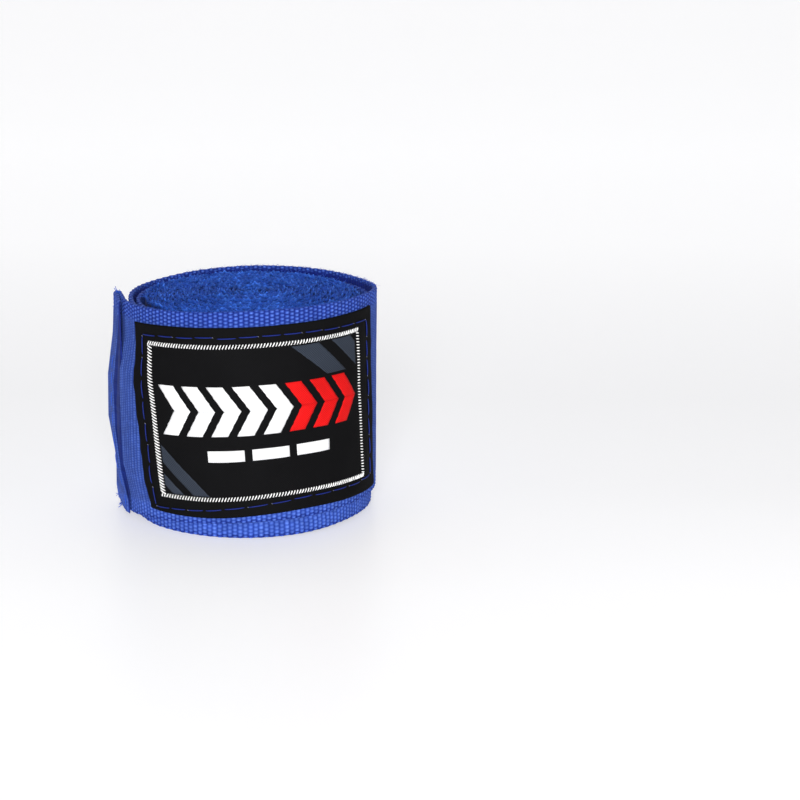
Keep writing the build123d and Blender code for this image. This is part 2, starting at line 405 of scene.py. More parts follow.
def maths(operation, *values):
    """A maths node in the tree of its first socket, and its result."""
    tree = next(value.id_data for value in values if isinstance(value, bpy.types.NodeSocket))
    return add_node(tree, "ShaderNodeMath", dict(enumerate(values)), operation=operation).outputs[0]


def times(first, second):
    return maths("MULTIPLY", first, second)


def plus(first, second):
    return maths("ADD", first, second)


def blend_colours(share, first, second, mode="MIX"):
    inputs = {0: share, 6: first, 7: second}
    return add_node(second.id_data, "ShaderNodeMix", inputs, data_type="RGBA", blend_type=mode).outputs[2]


def shaded(tint, shade):
    """A colour multiplied by one value."""
    grey = add_node(shade.id_data, "ShaderNodeCombineColor", {0: shade, 1: shade, 2: shade}).outputs[0]
    return blend_colours(1.0, tint, grey, "MULTIPLY")


def noise(place, scale, detail, roughness=0.5):
    inputs = {"Vector": place, "Scale": scale, "Detail": detail, "Roughness": roughness}
    return add_node(place.id_data, "ShaderNodeTexNoise", inputs).outputs[0]


def parts_of(place):
    return add_node(place.id_data, "ShaderNodeSeparateXYZ", {0: place}).outputs


def stretch(place, scale):
    inputs = {0: place, 1: scale}
    return add_node(place.id_data, "ShaderNodeVectorMath", inputs, operation="MULTIPLY").outputs[0]


def rib_weave_group():
    """Ribbed cotton: painted shade in the grooves and between the fine crossing threads, rib-to-rib tone and
    a painted highlight on the crests.
    """
    tree, given = new_group("Rib Weave", {
        "Yarn": (0.07, 0.14, 0.6, 1), "Groove Shade": (0.01, 0.02, 0.2, 1), "Crest Highlight": (0.2, 0.3, 0.8, 1),
        "Weave": (0, 0, 0), "Relief": 1.0, "Cross Pitch": 0.6, "Thread Variation": 0.24})
    ribs, up, edge = parts_of(given["Weave"])
    rib = maths("ROUND", ribs)
    stagger = times(maths("MODULO", rib, 2.0), 0.5)
    step = maths("DIVIDE", up, given["Cross Pitch"])
    phase = times(plus(step, stagger), math.pi)
    reach = {"Value": edge, "From Min": 3.0, "From Max": 4.6}
    middle = add_node(tree, "ShaderNodeMapRange", reach).outputs[0]
    thread = maths("POWER", maths("ABSOLUTE", maths("COSINE", phase)), 0.6)
    groove = times(middle, maths("SUBTRACT", 1.0, thread))
    cross = maths("SUBTRACT", 1.0, groove)
    knot = maths("ROUND", plus(maths("DIVIDE", up, BEAD_PITCH), stagger))
    seed = add_node(tree, "ShaderNodeCombineXYZ", {0: rib, 1: knot}).outputs[0]
    tone = add_node(tree, "ShaderNodeTexWhiteNoise", {"Vector": seed}, noise_dimensions="3D").outputs["Value"]
    patch = noise(stretch(given["Weave"], (0.5, 0.9, 0.0)), 0.5, 3.0)
    fibre = noise(stretch(given["Weave"], (9.0, 3.0, 0.0)), 1.6, 4.0, 0.7)
    crest = maths("POWER", given["Relief"], 1.3)
    # Painted light: lit follows the relief and the crossing threads. Its low end takes the groove colour as
    # painted shade, its high end the yarn.
    lit = times(crest, plus(times(cross, 0.5), 0.5))
    base = blend_colours(lit, given["Groove Shade"], given["Yarn"])
    # Painted highlight: the most lit crests lighten towards the crest colour, broken up by the fibres.
    highlight_share = times(maths("POWER", lit, 4.0), plus(times(fibre, 0.8), -0.1))
    highlighted = blend_colours(highlight_share, base, given["Crest Highlight"])
    varied = times(tone, given["Thread Variation"])
    shade = plus(varied, plus(times(patch, 0.4), 0.68))
    darker_middle = maths("SUBTRACT", 1.0, times(middle, 0.26))
    high = plus(times(cross, 0.75), times(fibre, 0.5))
    add_node(tree, "NodeGroupOutput", {
        "Color": shaded(highlighted, times(shade, darker_middle)),
        "Roughness": plus(times(fibre, 0.2), 0.76), "Height": high})
    return tree


def fine_cloth_group():
    """Close plain weave of a patch or tape: two crossing threads, dust and slow tone."""
    tree, given = new_group("Fine Cloth", {
        "Thread": (0.02, 0.02, 0.02, 1), "Shadow": (0.005, 0.005, 0.005, 1),
        "Weave": (0, 0, 0), "Pitch": 0.3})
    places = parts_of(given["Weave"])
    turns = [times(maths("DIVIDE", places[i], given["Pitch"]), math.pi) for i in (0, 1)]
    warp, weft = (maths("SINE", turn) for turn in turns)
    knot = plus(times(times(warp, weft), 0.5), 0.5)
    dust = noise(given["Weave"], 4.0, 5.0, 0.75)
    slow = noise(given["Weave"], 0.12, 2.0)
    base = blend_colours(knot, given["Shadow"], given["Thread"])
    shade = plus(times(slow, 0.5), plus(times(dust, 0.4), 0.55))
    high = plus(times(knot, 0.8), times(dust, 0.3))
    add_node(tree, "NodeGroupOutput", {
        "Color": shaded(base, shade), "Roughness": plus(times(dust, 0.25), 0.62), "Height": high})
    return tree


def thread_twist_group():
    """Twisted sewing thread: slanting plies with painted shade between them, and a few pale fibres."""
    tree, given = new_group("Thread Twist", {
        "Thread": (0.02, 0.05, 0.3, 1), "Weave": (0, 0, 0), "Ply Length": 0.5, "Contrast": 0.5})
    places = parts_of(given["Weave"])
    slant = plus(maths("DIVIDE", places[0], given["Ply Length"]), places[1])
    ply = maths("ABSOLUTE", maths("SINE", times(slant, math.pi)))
    fibre = noise(given["Weave"], 9.0, 3.0)
    mixed = plus(times(ply, 0.7), times(fibre, 0.5))
    # Painted shade: the colour darkens in the grooves between the plies, as far as Contrast allows.
    shade = plus(times(maths("SUBTRACT", mixed, 0.7), given["Contrast"]), 1.0)
    add_node(tree, "NodeGroupOutput", {
        "Color": shaded(given["Thread"], shade), "Roughness": plus(times(fibre, 0.3), 0.4), "Height": ply})
    return tree


RIB_WEAVE = rib_weave_group()
FINE_CLOTH = fine_cloth_group()
THREAD_TWIST = thread_twist_group()


# ---- materials ----

def colour(red, green, blue):
    """A colour from display values, 0 to 255, as the linear values that a shader takes."""
    share = [v / 255 for v in (red, green, blue)]
    return tuple(v / 12.92 if v <= 0.04045 else ((v + 0.055) / 1.055) ** 2.4 for v in share) + (1.0,)


def new_material(name):
    """A node material, its tree and its shader."""
    material = bpy.data.materials.new(name)
    material.use_nodes = True
    return material, material.node_tree, material.node_tree.nodes["Principled BSDF"]


def cloth_material(name, group, values, bump_mm, sheen=0.0, sheen_tint=(1, 1, 1, 1), shine=0.12):
    """A material whose colour, roughness and bump come from one group, read at the weave coordinates."""
    material, tree, shader = new_material(name)
    weave = add_node(tree, "ShaderNodeAttribute", attribute_name="weave").outputs["Vector"]
    surface = add_node(tree, "ShaderNodeGroup", node_tree=group)
    surface.name = group.name
    feed(tree, surface, {"Weave": weave, **values})
    if "Relief" in surface.inputs:
        relief = add_node(tree, "ShaderNodeAttribute", attribute_name="relief").outputs["Fac"]
        feed(tree, surface, {"Relief": relief})
    raised = {"Height": surface.outputs["Height"], "Distance": bump_mm * MM, "Strength": 1.0}
    bump = add_node(tree, "ShaderNodeBump", raised)
    feed(tree, shader, {"Base Color": surface.outputs["Color"], "Roughness": surface.outputs["Roughness"],
                        "Normal": bump.outputs["Normal"], "Specular IOR Level": shine,
                        "Sheen Weight": sheen, "Sheen Roughness": 0.45, "Sheen Tint": sheen_tint})
    return material


def ribbed_blue(name, yarn, groove, crest, variation):
    # groove is the colour of painted shade in the grooves, and crest that of a painted highlight on the
    # crests.
    values = {"Yarn": colour(*yarn), "Groove Shade": colour(*groove), "Crest Highlight": colour(*crest),
              "Cross Pitch": 0.6, "Thread Variation": variation}
    return cloth_material(name, RIB_WEAVE, values, 0.07, 0.08, colour(150, 170, 255))


def fine_cloth(name, thread, shadow, pitch, bump_mm, shine=0.12):
    values = {"Thread": colour(*thread), "Shadow": colour(*shadow), "Pitch": pitch}
    return cloth_material(name, FINE_CLOTH, values, bump_mm, shine=shine)


def twisted_thread(name, thread, ply, contrast, bump_mm, sheen=0.0):
    values = {"Thread": colour(*thread), "Ply Length": ply, "Contrast": contrast}
    return cloth_material(name, THREAD_TWIST, values, bump_mm, sheen)


MATERIAL = {
    "band": ribbed_blue("ribbed blue cotton", (60, 94, 192), (16, 32, 112), (120, 152, 232), 0.22),
    # The wound core: the same cotton in darker colours, as painted shade for the self-shadowing between its
    # tight turns.
    "core": ribbed_blue("wound blue edges in painted shade", (34, 80, 176), (2, 8, 48), (98, 150, 234), 1.05),
    "label": fine_cloth("black woven patch", (17, 17, 19), (7, 7, 8), 0.28, 0.03, 0.05),
    "slate": fine_cloth("slate woven shapes", (56, 63, 76), (30, 36, 45), 0.28, 0.03),
    "white": fine_cloth("white woven shapes", (252, 252, 252), (206, 208, 214), 0.24, 0.02),
    "red": fine_cloth("red woven shapes", (238, 22, 22), (160, 8, 10), 0.24, 0.02),
    "blue_thread": twisted_thread("blue sewing thread", (26, 42, 122), 0.55, 0.8, 0.03),
    "white_thread": twisted_thread("white satin thread", (255, 255, 255), 0.8, 0.25, 0.02, 0.1),
    "speck": twisted_thread("grey thread knots", (120, 124, 140), 0.8, 0.4, 0.01),
    "fuzz": twisted_thread("loose cotton fibre", (44, 84, 190), 0.9, 0.6, 0.005),
    "pile": twisted_thread("light blue pile", (132, 200, 240), 0.7, 0.5, 0.01, 0.4),
    "loop": fine_cloth("light blue tape", (118, 190, 236), (60, 130, 196), 0.4, 0.05),
    "hook": fine_cloth("blue hook tape", (52, 80, 170), (24, 40, 110), 0.4, 0.05),
}


# ---- cloth pieces ----

FLAP_SEAM_RUN = groove_run(FLAP_SEAM_ANGLE)
BACK_START_RUN = groove_run(BACK_START_ANGLE)
BACK_END_RUN = groove_run(BACK_END_ANGLE)
FRONT_END_RUN = groove_run(FRONT_END_ANGLE)
CORE_RUN = run_at(CORE_ANGLE)


def band_piece(name, run_low, run_high, ring, per_rib=6, with_gap_shade=False):
    """A length of the band on the roll. Its last flag paints shade down its inner face, where it is seen in a
    narrow gap.
    """
    points, weave, relief = cloth_rings(columns(run_low, run_high, per_rib), ring, wound)
    if with_gap_shade:
        relief = painted_gap_shade(ring, relief)
    return loft(name, points, None, "band", weave, relief)


def make_closure_flap():
    """The flap from under the label's left edge to just past its hinge."""
    piece = band_piece("closure_flap_cloth", FLAP_SEAM_RUN, BACK_START_RUN, section(44, 10, 40))
    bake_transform(piece)
    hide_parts("closure_flap")


def make_outer_turns():
    """The two looser turns, in three lengths: round the back, round the front, and the inner one."""
    # The back length gets painted shade down its inner face, seen in the gap above the wound turns.
    back = ("outer_back_cloth", BACK_START_RUN, BACK_END_RUN, section(40, 26, 40, 20), 6, True)
    front = ("outer_front_cloth", BACK_END_RUN, FRONT_END_RUN, section(30, 5, 42))
    inner = ("outer_inner_cloth", FRONT_END_RUN, CORE_RUN, section(14, 4, 14), 4)
    for made in (back, front, inner):
        piece = band_piece(*made)
        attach(piece, "roll")
        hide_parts("outer_turns")


# ---- the pull tab ----

ROOT = on_band(TAB_ANGLE, 0.0, 0.0)[:2]
OUTWARD = np.array([math.cos(math.radians(TAB_ANGLE)), math.sin(math.radians(TAB_ANGLE))])
AWAY = np.array([OUTWARD[1], -OUTWARD[0]])


def by_height(up, lengths):
    """One of the tab's lengths at a height up the band."""
    return eased(up, TIP_HEIGHTS, lengths, 1.8, 5)


def beyond_root(along, off, z):
    """Points on the straight run of the tab, along millimetres past the roll."""
    share = smooth_step(along, 0, 12)
    tip_sway = by_height(z, TIP_SWAY) + 0.12 * np.sin(z / 1.9)
    out = off + fastener_bump(TAB_ANGLE, z) * (1 - share) + tip_sway * share
    return np.stack([ROOT[0] + along * AWAY[0] + out * OUTWARD[0],
                     ROOT[1] + along * AWAY[1] + out * OUTWARD[1], z], -1)


def tab_place(run, off, up):
    """Places the tab's cloth: on the roll, straight past it, round the fold and back as the hem.
    The run falls from the seam with the flap, through 0 at the root, to the hem's free edge."""
    z = height(angle_at(np.clip(run, 0, None)), up)
    tip = by_height(up, TIP_LENGTHS)
    hem_edge = by_height(up, HEM_EDGE_LENGTHS)
    past = -run / TAB_CLOTH_LENGTH
    base = np.clip(past / BASE_SHARE, None, 1) * tip
    turn = np.clip((past - BASE_SHARE) / FOLD_SHARE, 0, 1) * math.pi
    back = np.clip((past - BASE_SHARE - FOLD_SHARE) / HEM_SHARE, 0, 1)
    gape = smooth_step(up, 30, 46) * 0.9 + 0.1
    off = off * (CUT_THIN + (1 - CUT_THIN) * smooth_step(TAB_CLOTH_LENGTH + run, 0.0, 1.1))
    along = base + FOLD_RADIUS * np.sin(turn) - back * (tip - hem_edge)
    rise = FOLD_RADIUS * (1 - np.cos(turn)) + 0.75 * gape * back ** 3 + 0.12 * back
    along = along - off * np.sin(turn)
    flat = beyond_root(along, rise + off * np.cos(turn), z)
    return np.where((run > 0)[..., None], wound(np.clip(run, 0, None), off, up), flat)


def make_pull_tab():
    """The free end with its hem folded outward, from under the label to the hem's cut edge."""
    runs = -columns(-FLAP_SEAM_RUN, TAB_CLOTH_LENGTH, 6)
    points, weave, relief = cloth_rings(runs, section(44, 10, 40), tab_place)
    # Painted shade: the relief falls towards the hem's cut edge, so the free edge shows as a dark line.
    cut_edge_shade = CUT_THIN + (1 - CUT_THIN) * smooth_step(TAB_CLOTH_LENGTH + runs, 0.0, 0.4)
    relief = relief * cut_edge_shade[:, None]
    piece = loft("pull_tab_cloth", points[::-1], None, "band", weave[::-1], relief[::-1])
    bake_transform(piece)
    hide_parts("pull_tab")


# ---- the wound core ----

def edge_ring():
    """The ring round tightly wound cloth, of which only the two edges show."""
    top = [(BAND_WIDTH - d, w) for d, w in ((1.4, 1.0), (0.55, 0.8), (0.16, 0.45), (0.0, 0.0))]
    low = [(BAND_WIDTH - v, w) for v, w in top[-2::-1]]
    outer = low + top
    inner = [(v, -w) for v, w in outer[::-1] if w > 0]
    return np.array(outer + inner + [(0.0, 0.0)])


def dome(radius):
    """How far the middle of the roll stands up out of its end."""
    return 1.7 + 1.3 * (1 - (np.asarray(radius) / 26.0) ** 2)


turn_rise = 0.20 * rng.standard_normal(64)
thread_rise = 0.20 * rng.standard_normal(RIB_COUNT)
thread_lean = 0.045 * rng.standard_normal(RIB_COUNT)


def between(place, values):
    """A value between those of the two nearest turns or threads."""
    return np.interp(place, np.arange(len(values)), values)


def core_place(run, off, up):
    """Places tightly wound cloth: its turns and threads rise and lean unevenly."""
    angle = angle_at(run)
    ripple = 0.12 * np.sin(run / 5.3) + 0.1 * np.sin(run / 2.9 + 1.7)
    slow = between(angle / 360.0, turn_rise)
    lift = dome(RADII[half_turn_at(angle)]) + slow + ripple + between(run / RIB_PITCH, thread_rise)
    lean = between(run / RIB_PITCH + 0.5, thread_lean)
    settled = smooth_step(angle, CORE_ANGLE, CORE_ANGLE + 90)
    return on_band(angle, off + lean * settled, 1.5 + (lift - 1.5) * settled + up)


def edge_thread(run, up):
    """The zigzag of the edge thread, how near the edge is, and how much light the depth leaves."""
    edge = from_edge(up)
    return zigzag(run), np.exp(-(edge / 0.7) ** 2), np.clip(1.0 - edge * 0.9, 0.0, 1.0)


def make_inner_turns():
    """The tight turns, of which only the edges show."""
    runs = columns(CORE_RUN, run_at(CORE_END_ANGLE), 3)
    run, up, side = ring_grid(runs, edge_ring())
    wave, near, light = edge_thread(run, up)
    crest = np.where(up > BAND_WIDTH / 2, 1, -1) * near * 0.2 * np.cos(2 * math.pi * run / RIB_PITCH)
    points = core_place(run, side * CORE_HALF + 0.28 * wave * near, up + crest)
    # Painted shade: the relief fades with depth below the edges and is lower on threads that sit lower, so
    # the depth between turns and the sunk threads look dark.
    tone = 0.62 + 0.2 * np.abs(wave) + 0.8 * between(run / RIB_PITCH, thread_rise)
    piece = loft("inner_turns_cloth", points, None, "core", weave_at(run, up),
                 light * np.clip(tone, 0.15, 1))
    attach(piece, "roll")
    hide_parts("inner_turns")


def loop_path(turned, off):
    """Points of the doubled cloth's mid line in the core, by angle past the right-hand side."""
    start = STOPS[-1] - LOOP_OFFSET
    k = np.clip((turned // 180).astype(int), 0, LOOP_HALF_TURNS - 1)
    radius = start - LOOP_STEP * (k + 0.5)
    centre = np.where(k % 2 == 0, 0.5, -0.5) * LOOP_STEP
    turn = np.radians(turned)
    return centre + (radius + off) * np.cos(turn), (radius + off) * np.sin(turn)


def make_thumb_loop():
    """The inner end, folded back on itself: out along one layer, round the fold and back."""
    full = 180.0 * LOOP_HALF_TURNS
    steps = 260
    mean_radius = 3.1
    turned = np.concatenate([np.linspace(0, full, steps), np.full(9, full), np.linspace(full, 0, steps)])
    fold = np.concatenate([np.zeros(steps), np.linspace(0, math.pi, 11)[1:-1], np.full(steps, math.pi)])
    lengths = np.abs(np.diff(turned)) * math.pi / 180 * mean_radius + 0.01
    run, up, side = ring_grid(np.cumsum(np.concatenate([[0], lengths])), edge_ring())
    wave, near, light = edge_thread(run, up)
    outward, forward = np.cos(fold)[:, None], np.sin(fold)[:, None]
    layer = LOOP_OFFSET * outward + outward * (side * CORE_HALF)
    x, y = loop_path(turned[:, None] + 0 * up, layer + 0.24 * wave * near)
    y = y + forward * (LOOP_OFFSET + side * CORE_HALF)
    z = up + dome(4.0) - 0.15 + between(run / RIB_PITCH, thread_rise)
    # Painted shade: the relief fades with depth below the edges.
    piece = loft("thumb_loop_cloth", np.stack([x, y, z], -1), None, "core",
                 weave_at(run, up), light * (0.5 + 0.4 * np.abs(wave)))
    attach(piece, "roll")
    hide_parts("thumb_loop")


# ---- threads and fibres ----

def tubes(name, paths, radius, sides, body, material, flat=1.0):
    """Many small tubes in one piece. paths is an array of tubes, points and 3, in millimetres."""
    paths = np.asarray(paths, float)
    count, length = paths.shape[:2]
    tangent = np.gradient(paths, axis=1)
    tangent /= np.linalg.norm(tangent, axis=-1, keepdims=True) + 1e-12
    guide = np.where(np.abs(tangent[..., 2:3]) > 0.9, [1.0, 0, 0], [0, 0, 1.0])
    across = np.cross(tangent, guide)
    across /= np.linalg.norm(across, axis=-1, keepdims=True) + 1e-12
    other = np.cross(across, tangent)
    taper = np.sin(np.linspace(0.12, 0.88, length) * math.pi) ** 0.35
    turn = np.linspace(0, 2 * math.pi, sides, endpoint=False)
    wide = np.asarray(radius, float).reshape(-1, 1, 1, 1) * taper[:, None, None]
    ring = (across[:, :, None] * np.cos(turn)[:, None]
            + other[:, :, None] * np.sin(turn)[:, None] * flat) * wide
    points = (paths[:, :, None] + ring).reshape(-1, 3)
    faces = []
    pattern = tube_faces(length, sides)
    for i in range(count):
        base = i * length * sides
        faces += [[base + v for v in face] for face in pattern]
    along = np.cumsum(np.linalg.norm(np.diff(paths, axis=1, prepend=paths[:, :1]), axis=-1), 1)
    weave = np.stack(np.broadcast_arrays(along[:, :, None] + 0.13 * np.arange(count)[:, None, None],
                                         turn / math.pi, 0.0), -1)
    return make_mesh(name, points, faces, body, material, weave)


def dash(place, start, end, arch, points=12):
    """A stitch between two places on a surface: it dips into the cloth at both ends."""
    t = np.linspace(0, 1, points)
    u = start[0] + (end[0] - start[0]) * t
    v = start[1] + (end[1] - start[1]) * t
    return place(u, v, arch * (1 - (2 * t - 1) ** 4) - 0.08)


# ---- the label ----

def label_spot(x, y):
    """Running angle and height at x and y millimetres from the label's lower left corner."""
    s, t = np.asarray(x) / LABEL_LONG, np.asarray(y) / LABEL_HIGH
    bottom_left, bottom_right, top_left, top_right = np.array(LABEL_CORNERS)
    low = bottom_left + (bottom_right - bottom_left) * s[..., None]
    high = top_left + (top_right - top_left) * s[..., None]
    spot = low + (high - low) * t[..., None]
    sag = 0.7 * np.sin(2 * math.pi * (s - 0.38)) * np.sqrt(np.sin(math.pi * np.clip(s, 0, 1)))
    return spot[..., 0], spot[..., 1] + 2.0 * s * (1 - s) * t + sag * (1 - t)


def label_face(x, y):
    """Height of the label's face off its own plane: pulled in along the seam, wavy at its edge."""
    edge = np.minimum(np.minimum(x, LABEL_LONG - x), np.minimum(y, LABEL_HIGH - y))
    sunk = -0.16 * np.exp(-((edge - 2.6) / 0.7) ** 2)
    sunk = sunk * (0.8 + 0.2 * np.sin(x * 1.31) * np.sin(y * 1.31))
    wave = 0.10 * np.sin(x / 3.1 + 0.7) * np.sin(y / 4.7) + 0.05 * np.sin(x / 1.7 - y / 2.3)
    lifted = 0.16 * (1 - smooth_step(edge, 0, 1.6)) * (0.6 + 0.4 * np.sin(x / 2.4 + y / 3.3))
    return sunk + wave * smooth_step(edge, 0, 6) + lifted


def on_label(x, y, n):
    """Points on the label, n millimetres above its face."""
    x, y, n = np.broadcast_arrays(np.asarray(x, float), y, n)
    angle, z = label_spot(x, y)
    rise = LABEL_LIFT + LABEL_THICK + label_face(x, y) + fastener_bump(angle, z)
    return on_band(angle, rise + n, z)


def make_label():
    """The patch: a fine sheet with cut edges, closed all round."""
    nx, ny = 150, 96
    x, y = np.meshgrid(np.linspace(0, LABEL_LONG, nx), np.linspace(0, LABEL_HIGH, ny), indexing="ij")
    ragged = 0.10 * np.sin(y / 1.3) + 0.06 * np.sin(y / 0.6)
    xe = x + np.where((x == 0) | (x == LABEL_LONG), ragged, 0)
    points = [on_label(xe, y, n).reshape(-1, 3) for n in (0.0, -LABEL_THICK)]
    flat = np.stack([x, y, 0 * x], -1).reshape(-1, 3)
    piece = make_mesh("label_cloth", np.concatenate(points), sheet_faces(nx, ny), "flap",
                      "label", np.concatenate([flat, flat]))
    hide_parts("label_patch")


def make_label_seam():
    """The running stitch round the label."""
    corners = [(1.9, 1.0), (20.0, 2.0), (42.0, 2.8), (LABEL_LONG - 2.2, 3.0),
               (LABEL_LONG - 2.2, LABEL_HIGH - 2.7), (33.0, LABEL_HIGH - 2.2), (2.6, LABEL_HIGH - 2.5)]
    paths, holes = [], []
    for first, last in zip(corners, corners[1:] + corners[:1]):
        first, last = np.array(first), np.array(last)
        length = np.linalg.norm(last - first)
        count = round(length / 4.9)
        for k in range(count):
            jog = rng.normal(0, 0.07, 2)
            start = first + (last - first) * (k + 0.09) / count + jog
            end = first + (last - first) * (k + 0.93) / count + jog
            paths.append(dash(on_label, start, end, 0.2))
            if rng.random() < 0.55:
                holes.append(start)
    seam = tubes("label_seam_thread", paths, STITCH_RADIUS, 7, "flap", "blue_thread", 0.8)
    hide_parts("label_seam")
    specks = [dash(on_label, h + [-0.12, 0.1], h + [0.12, -0.1], 0.14, 5) for h in holes]
    tubes("label_seam_knots", specks, 0.08, 5, "flap", "speck")


def make_label_border():
    """The satin-stitch frame: short slanting threads side by side."""
    left, right, low, high = 5.2, LABEL_LONG - 6.7, 4.3, LABEL_HIGH - 4.3
    strokes = []
    for y in (low, high):
        for x in np.arange(left - 0.3, right + 0.3, SATIN_PITCH):
            lean = 0.5 + rng.normal(0, 0.05)
            strokes.append(((x - lean / 2, y - 0.46), (x + lean / 2, y + 0.46)))
    for x, half, slant in ((left, 0.66, 0.6), (right, 0.42, 0.15)):
        for y in np.arange(low + 0.7, high - 0.4, SATIN_PITCH):
            lean = slant + rng.normal(0, 0.05)
            strokes.append(((x - half, y + lean / 2), (x + half, y - lean / 2)))
    paths = [dash(on_label, start, end, 0.22, 7) for start, end in strokes]
    border = tubes("label_border_thread", paths, SATIN_RADIUS, 6, "flap", "white_thread", 0.7)
    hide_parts("label_border")


def shape_on_label(name, outlines, rise, material):
    """Flat woven shapes on the label, each a four-sided outline of points in millimetres."""
    points, faces, weave = [], [], []
    for outline in outlines:
        a, b, c, d = (np.array(p, float) for p in outline)
        sides = np.linalg.norm([[b - a, c - d], [d - a, c - b]], axis=-1).max(1)
        nu, nv = (max(2, int(side / 0.6) + 1) for side in sides)
        u, v = np.meshgrid(np.linspace(0, 1, nu), np.linspace(0, 1, nv), indexing="ij")
        flat = (a + (b - a) * u[..., None]) * (1 - v[..., None]) + (d + (c - d) * u[..., None]) * v[..., None]
        x, y = flat[..., 0], flat[..., 1]
        inside = (u > 0) & (u < 1) & (v > 0) & (v < 1)
        jag = np.where(inside, 0, 0.05 * np.sin(y * 9.0) + 0.04 * np.sin(x * 11.0))
        base = len(points)
        for above in (np.where(inside, rise, rise * 0.5), -0.05):
            points += on_label(x + jag, y, above).reshape(-1, 3).tolist()
            weave += np.stack([x, y, 0 * u], -1).reshape(-1, 3).tolist()
        faces += [[base + corner for corner in face] for face in sheet_faces(nu, nv)]
    make_mesh(name, points, faces, "flap", material, weave)


def chevron(x, y, high, thick, reach):
    """Two slanting bars that meet in a point at the right."""
    mid = y + high / 2
    return [[(x, y), (x + thick, y), (x + thick + reach, mid), (x + reach, mid)],
            [(x + reach, mid), (x + thick + reach, mid), (x + thick, y + high), (x, y + high)]]


def make_label_shapes():
    """A plain pattern of chevrons, bars and corner bands."""
    white, red, slate = [], [], []
    for k in range(5):
        white += chevron(7.4 + 6.0 * k, 18.9, 11.4, 3.9, 3.6)
    for k in range(3):
        red += chevron(37.4 + 6.0 * k, 18.9, 11.4, 3.9, 3.6)
    for x in (18.0, 28.4, 38.8):
        white.append([(x, 13.0), (x + 8.6, 13.0), (x + 8.6, 15.6), (x, 15.6)])
    left, right, low, top = 6.2, LABEL_LONG - 7.9, 5.0, LABEL_HIGH - 5.1
    end = top - 7.6
    slate.append([(right - 18.0, top), (right - 11.0, top), (right - 3.6, end), (right - 9.4, end)])
    slate.append([(right - 7.4, top), (right - 1.4, top), (right, top - 1.6), (right, top - 7.2)])
    slate.append([(left, low + 7.2), (left, low + 11.4), (left + 11.2, low), (left + 7.0, low)])
    slate.append([(left, low + 1.8), (left, low + 4.6), (left + 4.6, low), (left + 1.8, low)])
    shape_on_label("label_white_shapes", white, 0.09, "white")
    shape_on_label("label_red_shapes", red, 0.09, "red")
    shape_on_label("label_slate_shapes", slate, 0.06, "slate")


# ---- fastening tapes ----

def tape_place(face, away):
    """Maps run, height and rise to points on one face of the band, over the same bump."""
    def place(run, z, n):
        angle = angle_at(run)
        return on_band(angle, face + away * n + fastener_bump(angle, z), z)
    return place


def sewn_tape(kind, span, side, z_low, thick, rise, body):
    """A tape's woven base, closed all round, and its two rows of stitching, on the band's outer
    face for side 1 and its inner face for side -1. Returns the map of that face."""
    place = tape_place(side * TAPE_FACE, side)
    low, high = run_at(span[0]), run_at(span[1])
    runs = np.arange(low, high, 0.6)
    rows = np.linspace(0, TAPE_WIDTH, 34)
    ring = np.array([(z, 1) for z in rows] + [(z, 0) for z in rows[::-1]])
    run, up, face = ring_grid(runs, ring)
    z = z_low + up
    wave = 0.05 * np.sin(run / 2.1) * np.sin(z / 1.9)
    rings = place(run, z + 0.12 * np.sin(run / 7.0), face * (thick + wave))
    base = loft(kind + "_tape_cloth", rings, body, kind, np.stack([run, z, 0 * z], -1))
    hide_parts(kind + "_tape")
    top = tape_place(side * (TAPE_FACE + thick), side)
    paths = []
    for z in (z_low + 1.0, z_low + TAPE_WIDTH - 1.0):
        for start in np.arange(low + 0.6, high - 4.0, 4.4):
            zig = z + rng.normal(0, 0.08)
            paths.append(dash(top, (start, zig), (start + 3.7, zig + rng.normal(0, 0.1)), rise))
    seam = tubes(kind + "_tape_seam_thread", paths, 0.2, 7, body, "blue_thread", 0.8)
    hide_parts(kind + "_tape_seam")
    return place


def make_loop_tape():
    """The pile tape, with brushed loops over its middle."""
    place = sewn_tape("loop", LOOP_SPAN, 1.0, LOOP_Z, LOOP_THICK, 0.22, "roll")
    count = PILE_COUNT
    low, high = run_at(LOOP_SPAN[0]) + 0.4, run_at(LOOP_SPAN[1]) - 0.4
    run = rng.uniform(low, high, count)
    z = LOOP_Z + 2.0 + rng.uniform(0, TAPE_PILE, count)
    heading = rng.uniform(0, 2 * math.pi, count)
    span = rng.uniform(0.3, 0.8, count)
    t = np.linspace(0, 1, 5)
    arch = np.sin(t * math.pi) * rng.uniform(0.2, 0.55, count)[:, None]
    drift = (t - 0.5) * span[:, None]
    curl = 0.22 * np.sin(t * math.pi * 2) * rng.normal(0, 1, count)[:, None]
    along = run[:, None] + drift * np.cos(heading)[:, None] - curl * np.sin(heading)[:, None]
    up = z[:, None] + drift * np.sin(heading)[:, None] + curl * np.cos(heading)[:, None]
    paths = place(along, up, 0.2 + arch)
    tubes("loop_tape_pile", paths, 0.07, 3, "roll", "pile")


def make_hook_tape():
    """The hook tape: a woven base and rows of small hooks that lean both ways."""
    place = sewn_tape("hook", HOOK_SPAN, -1.0, HOOK_Z, HOOK_THICK, 0.12, "flap")
    runs = np.arange(run_at(HOOK_SPAN[0]) + 1.0, run_at(HOOK_SPAN[1]) - 1.0, 0.95)
    heights = np.arange(HOOK_Z + 2.4, HOOK_Z + TAPE_WIDTH - 2.2, 0.8)
    run, z = (g.ravel() for g in np.meshgrid(runs, heights, indexing="ij"))
    lean = np.where(np.round((z - HOOK_Z) / 0.8) % 2 == 0, 1.0, -1.0)
    bend = np.array([[0.0, 0.15], [0.02, 0.36], [0.12, 0.48], [0.27, 0.48], [0.35, 0.36]])
    paths = place(run[:, None] + lean[:, None] * bend[:, 0], z[:, None], bend[:, 1])
    tubes("hook_tape_hooks", paths, 0.09, 5, "flap", "hook")


# ---- hem, loose fibres, frayed ends ----

